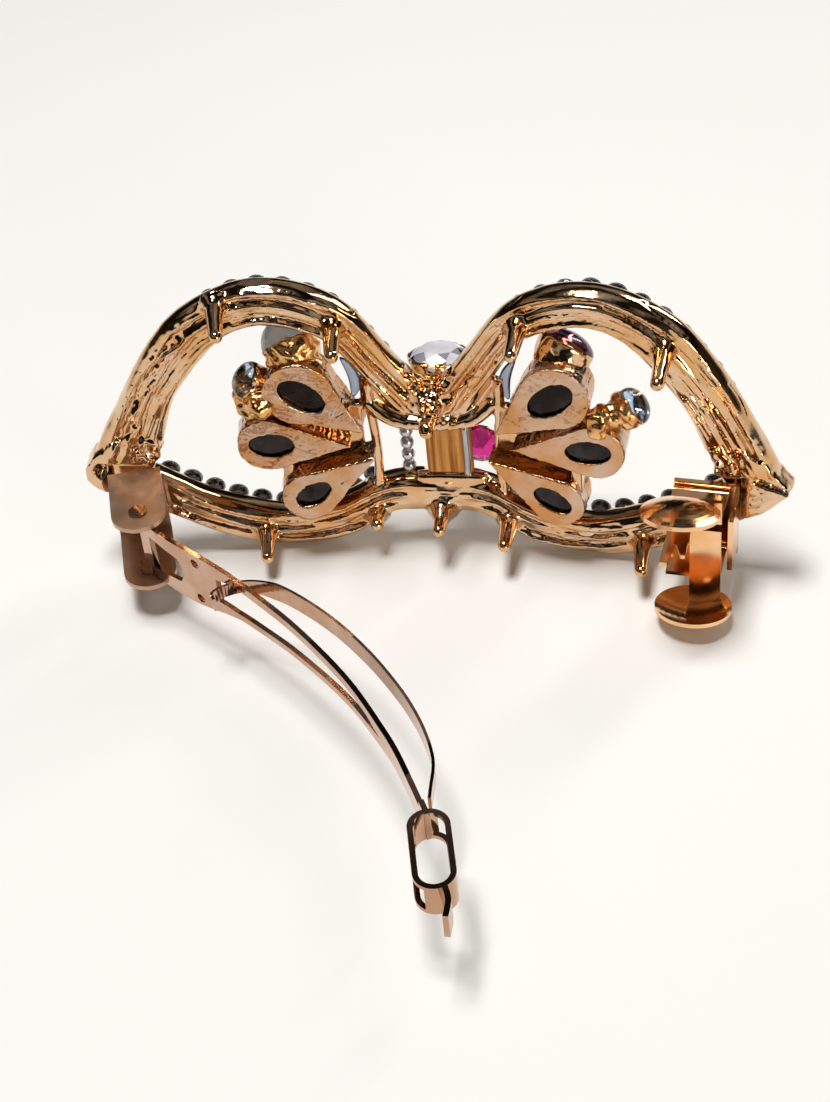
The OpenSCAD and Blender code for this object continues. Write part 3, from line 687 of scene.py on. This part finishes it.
def bowl(name, node, stone, material, width, depth, stem, lumps, fineness, nuggets=()):
    """The deep round cup of a stone on a stem, with lumps of solder beside it.

    width, depth and stem are parts of the stone's diameter; nuggets are places from its centre."""
    centre, axis, d = stone_pose(stone)
    r = width * d
    build = Build()
    build.put(turned([(-depth * d, 0.2 * r), (-0.92 * depth * d, 0.55 * r), (-0.7 * depth * d, 0.82 * r),
                      (-0.36 * depth * d, 0.96 * r), (0.02 * d, r), (0.06 * d, 0.97 * r),
                      (0.06 * d, 0.88 * r), (-0.2 * d, 0.3 * r)], centre, axis, 32))
    build.put(turned([(-stem * d, 0.5 * r), (-0.3 * d, 0.42 * r)], centre, axis, 16))
    arc = np.linspace(0.05, math.pi - 0.05, 9)
    nugget = [(-NUGGET_RADIUS * math.cos(a), NUGGET_RADIUS * math.sin(a)) for a in arc]
    for shift in nuggets:
        build.put(turned(nugget, centre + np.array(shift), (0.2, 0.3, 1), 16))
    mesh = welded(name, build.mesh(name + " blank"), 0.13, 3)
    push(mesh, lumps * (noise3(verts_of(mesh) / MM * fineness, 31) - 0.5))
    return show(name, mesh, [material], "rose_gold", node)


def pillar_edge():
    """The right edge of the pillar, bowed slightly outwards, in bead silver: a painted highlight where the
    lit side of the pillar shows.
    """
    low, high = box_mm("knot_pillar")
    right, back, middle = high[0] - 0.75, low[1] + 0.1, (low[2] + high[2]) / 2
    bar = beam([(right, back, low[2] - 0.2), (right + 0.1, back - 0.2, middle), (right, back, high[2] + 0.2)],
               0.42, 0.42)
    return show("knot_pillar_edge", Build().put(bar).mesh("pillar edge"), [SILVER], "rose_gold")


SMOKE_BOWL = {"left": (ROUGH, 0.9), "right": (CAST, 0.3)}  # metal and height of the lumps
for side in SIDES:
    for which in ("upper", "middle", "lower"):
        casting(f"{side}_{which}_pear_cup", f"{side}_{which}_cup", CUP,
                voxel=0.13, relax=12, lumps=0.6, fineness=0.5, scratch=0.07)
    material, lumps = SMOKE_BOWL[side]
    bowl(f"{side}_smoke_bowl", f"{side}_smoke_setting", f"{side}_smoke_stone", material,
         width=0.62, depth=0.72, stem=0.62, lumps=lumps, fineness=1.3)
    bowl(f"{side}_side_bowl", f"{side}_side_setting", f"{side}_side_stone", ROUGH,
         width=0.6, depth=0.6, stem=0.7, lumps=1.1, fineness=1.2, nuggets=NUGGETS[side])
bowl("crystal_bowl", "crystal_setting", "knot_crystal", ROUGH,
     width=0.53, depth=0.42, stem=0.6, lumps=0.7, fineness=1.2)
casting("knot_back_pillar", "knot_pillar", PILLAR, voxel=0.12, relax=2, lumps=0.12, fineness=0.8)
pillar_edge()

# ---------------------------------------------------------------- stones


def brilliant(centre, axis, d, turn=0.0):
    """A round brilliant as two shapes: its crown, and its foiled pavilion."""
    stand = Vector(axis).normalized().to_track_quat("Z", "Y").to_matrix()

    def ring(n, radius, z, shift=0.0):
        angles = [2 * math.pi * (k + shift) / n + turn for k in range(n)]
        return [Vector((radius * math.cos(a), radius * math.sin(a), z)) for a in angles]

    rings = [ring(8, 0.29 * d, 0.17 * d), ring(8, 0.41 * d, 0.095 * d, 0.5),
             ring(16, 0.5 * d, 0.02 * d), ring(16, 0.5 * d, -0.035 * d),
             ring(8, 0.25 * d, -0.24 * d), [Vector((0, 0, -0.42 * d))]]
    verts = np.array([stand @ v + Vector(centre) for part in rings for v in part])
    table, star, top, foot, pavilion, culet = np.cumsum([0] + [len(r) for r in rings[:-1]]).tolist()
    crown = [tuple(range(8))]
    back = []
    for k in range(8):
        after, before = (k + 1) % 8, (k - 1) % 8
        crown.append((table + k, star + k, table + after))
        crown.append((table + k, star + before, top + 2 * k, star + k))
        crown.append((star + k, top + 2 * k, top + 2 * k + 1))
        crown.append((star + k, top + 2 * k + 1, top + (2 * k + 2) % 16))
        back.append((pavilion + k, foot + 2 * k, foot + (2 * k - 1) % 16))
        back.append((pavilion + k, foot + 2 * k + 1, foot + 2 * k))
        back.append((culet, pavilion + after, foot + 2 * k + 1, pavilion + k))
    for k in range(16):
        crown.append((top + k, foot + k, foot + (k + 1) % 16, top + (k + 1) % 16))
    return (verts, crown), (verts, back)


def gems(name, node, stone, foil, slot, shrink=1.0, claw=0.0):
    """Cut stones for every gem of a node. claw is the height of the metal cup around each, in diameters."""
    build = Build()
    for k, points in enumerate(solids(node)):
        centre, axis, d = gem_pose(points)
        crown, back = brilliant(centre, axis, d * shrink, turn=0.7 * k)
        build.put(crown, 0)
        build.put(back, 1)
        if claw:
            cup = [(-0.3 * d, 0.3 * d), (-0.06 * d, 0.47 * d), (claw * d, 0.5 * d), (claw * d, 0.44 * d),
                   (-0.1 * d, 0.4 * d), (-0.2 * d, 0.1 * d)]
            build.put(turned(cup, centre, axis, 16), 2)
    return show(name, build.mesh(name), [stone, foil, CAST], slot, node, smooth=False)


def dome(name, node, stone, foil, slot, height, scale):
    """A domed stone on a foiled foot; height is in diameters."""
    centre, axis, d = stone_pose(node)
    d *= scale
    cap = [(0.02 * d + height * d * math.sin(a), 0.5 * d * math.cos(a)) for a in np.linspace(0, 1.5, 9)]
    foot = [(-0.055 * d, 0.49 * d), (-0.2 * d, 0.3 * d), (-0.3 * d, 0.05 * d)]
    build = Build()
    build.put(turned([(-0.05 * d, 0.5 * d)] + cap, centre, axis, 24), 0)
    build.put(turned(foot, centre, axis, 24), 1)
    return show(name, build.mesh(name), [stone, foil], slot, node)


def crescent(side):
    """A slim curved stone beside the upper cup."""
    low, high = box_mm(f"{side}_crescent")
    along, forward, up = to_half(((low + high) / 2)[None], SIDES[side])[0]
    rings = []
    for t in np.linspace(-0.98, 0.98, 25):
        thin = math.sqrt(1 - t * t)
        bend = 0.5 * t - 0.8 * (1 - t * t) + 0.4
        rings.append(np.array([(along + bend + 0.72 * thin * math.cos(a), forward + 0.42 * thin * math.sin(a),
                                up + 0.4 + 2.9 * t) for a in turns(16)]))
    verts, faces = tube(rings)
    build = Build().put((from_half(verts, SIDES[side]), faces))
    return show(f"{side}_crescent_stone", build.mesh(f"{side} crescent"), [HAZE], "aurora_crystal",
                f"{side}_crescent")


for side in SIDES:
    gems(f"{side}_upper_rhinestones", f"{side}_upper_stones", DUSK, DARK_FOIL, "clear_crystal",
         shrink=0.84, claw=0.02)
    gems(f"{side}_lower_rhinestones", f"{side}_lower_stones", DUSK, DARK_FOIL, "clear_crystal",
         shrink=0.84, claw=0.02)
    dome(f"{side}_side_crystal", f"{side}_side_stone", BLUE, FOIL, "aurora_crystal", height=0.36, scale=1.12)
dome("left_smoke_crystal", "left_smoke_stone", SMOKE, DARK_FOIL, "smoke_crystal", height=0.5, scale=1.2)
dome("right_smoke_crystal", "right_smoke_stone", PLUM, DARK_FOIL, "magenta_crystal", height=0.28, scale=1.2)
crystal = gems("knot_top_crystal", "knot_crystal", LIT_CRYSTAL, SPARK, "clear_crystal", shrink=1.06)
crystal.data.materials[2] = SHADE  # it has no metal cup of its own, so the third slot is free
FACET_SLOTS = (0, 0, 2, 0, 1, 0, 2)  # lit, mirror and shaded facets in turn
for k, facet in enumerate(crystal.data.polygons):
    facet.material_index = FACET_SLOTS[k % len(FACET_SLOTS)]
gems("knot_magenta_crystal", "magenta_stone", PINK, PINK, "magenta_crystal")

# ---------------------------------------------------------------- CAD nodes shown as they are


def dress(node, material, bevel=0.0):
    """Gives a CAD node its material and, where bevel is set, eased edges that wide in millimetres."""
    part = NODES[node]
    part.data.materials.clear()
    part.data.materials.append(material)
    if bevel:
        ease = part.modifiers.new("eased edges", "BEVEL")
        ease.width = bevel * MM
        ease.segments = 2
        ease.limit_method = "ANGLE"
        ease.angle_limit = math.radians(35)


SHEET_EDGE = 0.08
for side in SIDES:
    for which in ("upper", "middle", "lower"):
        dress(f"{side}_{which}_pear", DARK_FOIL)
    crescent(side)
dress("bead_column", SILVER)
dress("hinge_bracket", SATIN, SHEET_EDGE)
for node in ("clip_arm", "tension_strip"):
    dress(node, SHEET, SHEET_EDGE)
for node in ("latch_base", "latch_upper_jaw", "latch_lower_jaw"):
    dress(node, LATCH, SHEET_EDGE)

# ---------------------------------------------------------------- floor and light

low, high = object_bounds()
middle = (low + high) / 2
FLOOR_REACH = 3.0
FLOOR_GAP = 0.0005
corners = [(x * FLOOR_REACH, y * FLOOR_REACH, 0) for x, y in ((-1, -1), (1, -1), (1, 1), (-1, 1))]
floor_mesh = bpy.data.meshes.new("floor")
floor_mesh.from_pydata(corners, [], [(0, 1, 2, 3)])
floor = place("floor", floor_mesh)
floor.location.z = low.z - FLOOR_GAP
floor_mesh.materials.append(new_material("pale floor", (0.86, 0.86, 0.86), rough=0.9)[0])


def lamp(name, spot, width, height, power, tint):
    """A soft rectangular light at spot, aimed at the middle of the object."""
    light = bpy.data.lights.new(name, "AREA")
    light.energy = power
    light.color = tint
    light.shape = "RECTANGLE"
    light.size = width
    light.size_y = height
    made = place(name, light)
    made.location = spot
    made.rotation_euler = (middle - Vector(spot)).to_track_quat("-Z", "Y").to_euler()


lamp("key softbox", (-0.08, -0.02, 0.62), width=0.24, height=0.18, power=3.9, tint=(1, 0.98, 0.94))
lamp("rim strip", (0.3, 0.42, 0.3), width=0.06, height=0.4, power=0.8, tint=(1, 0.96, 0.88))
lamp("low card", (0.34, -0.4, 0.1), width=0.16, height=0.12, power=0.7, tint=(1, 0.93, 0.8))

# The studio is a pale band of light between dark walls, broken up as plated metal reflects a room
world = bpy.data.worlds.new("studio")
bpy.context.scene.world = world
world.use_nodes = True
tree = world.node_tree
around = tree.nodes.new("ShaderNodeTexCoord").outputs["Generated"]
split = tree.nodes.new("ShaderNodeSeparateXYZ")
tree.links.new(around, split.inputs["Vector"])
ramp = tree.nodes.new("ShaderNodeValToRGB")
tree.links.new(split.outputs["Z"], ramp.inputs["Fac"])
first, last = ramp.color_ramp.elements
first.position, first.color = 0.0, (0.05, 0.048, 0.045, 1)
last.position, last.color = 1.0, (0.3, 0.29, 0.28, 1)
for height, level in ((0.3, 0.005), (0.46, 0.012), (0.6, 0.3), (0.7, 0.28), (0.77, 0.005), (0.92, 0.008)):
    ramp.color_ramp.elements.new(height).color = (level, level * 0.98, level * 0.95, 1)
clutter = remap(tree, noise(tree, around, 2.6, 2.0), 0.4, 0.6, 0.3, 1.35)
tree.links.new(clutter, tree.nodes["Background"].inputs["Strength"])
tree.links.new(ramp.outputs["Color"], tree.nodes["Background"].inputs["Color"])

# ---------------------------------------------------------------- camera

AZIMUTH, ELEVATION, ROLL = (math.radians(v) for v in (12, 40, 6))
DISTANCE, AIM_LEFT, AIM_DOWN = 2.8, 0.0314, 0.137  # from the frame's origin, in lengths of the object
FOCAL_LENGTH, SENSOR_WIDTH = 64.13, 36
length = high.x - low.x
back = Vector((math.sin(AZIMUTH) * math.cos(ELEVATION), -math.cos(AZIMUTH) * math.cos(ELEVATION),
               math.sin(ELEVATION)))
level_right = Vector((math.cos(AZIMUTH), math.sin(AZIMUTH), 0))
level_up = back.cross(level_right)
right = math.cos(ROLL) * level_right - math.sin(ROLL) * level_up
up = math.sin(ROLL) * level_right + math.cos(ROLL) * level_up
lens = bpy.data.cameras.new("camera")
lens.lens = FOCAL_LENGTH
lens.sensor_width = SENSOR_WIDTH
lens.clip_start = 0.01
lens.clip_end = 20
camera = place("camera", lens)
camera.matrix_world = Matrix((right, up, back)).transposed().to_4x4()
camera.location = -right * (AIM_LEFT * length) - up * (AIM_DOWN * length) + back * (DISTANCE * length)
bpy.context.scene.camera = camera
bpy.context.scene.view_settings.view_transform = "Standard"
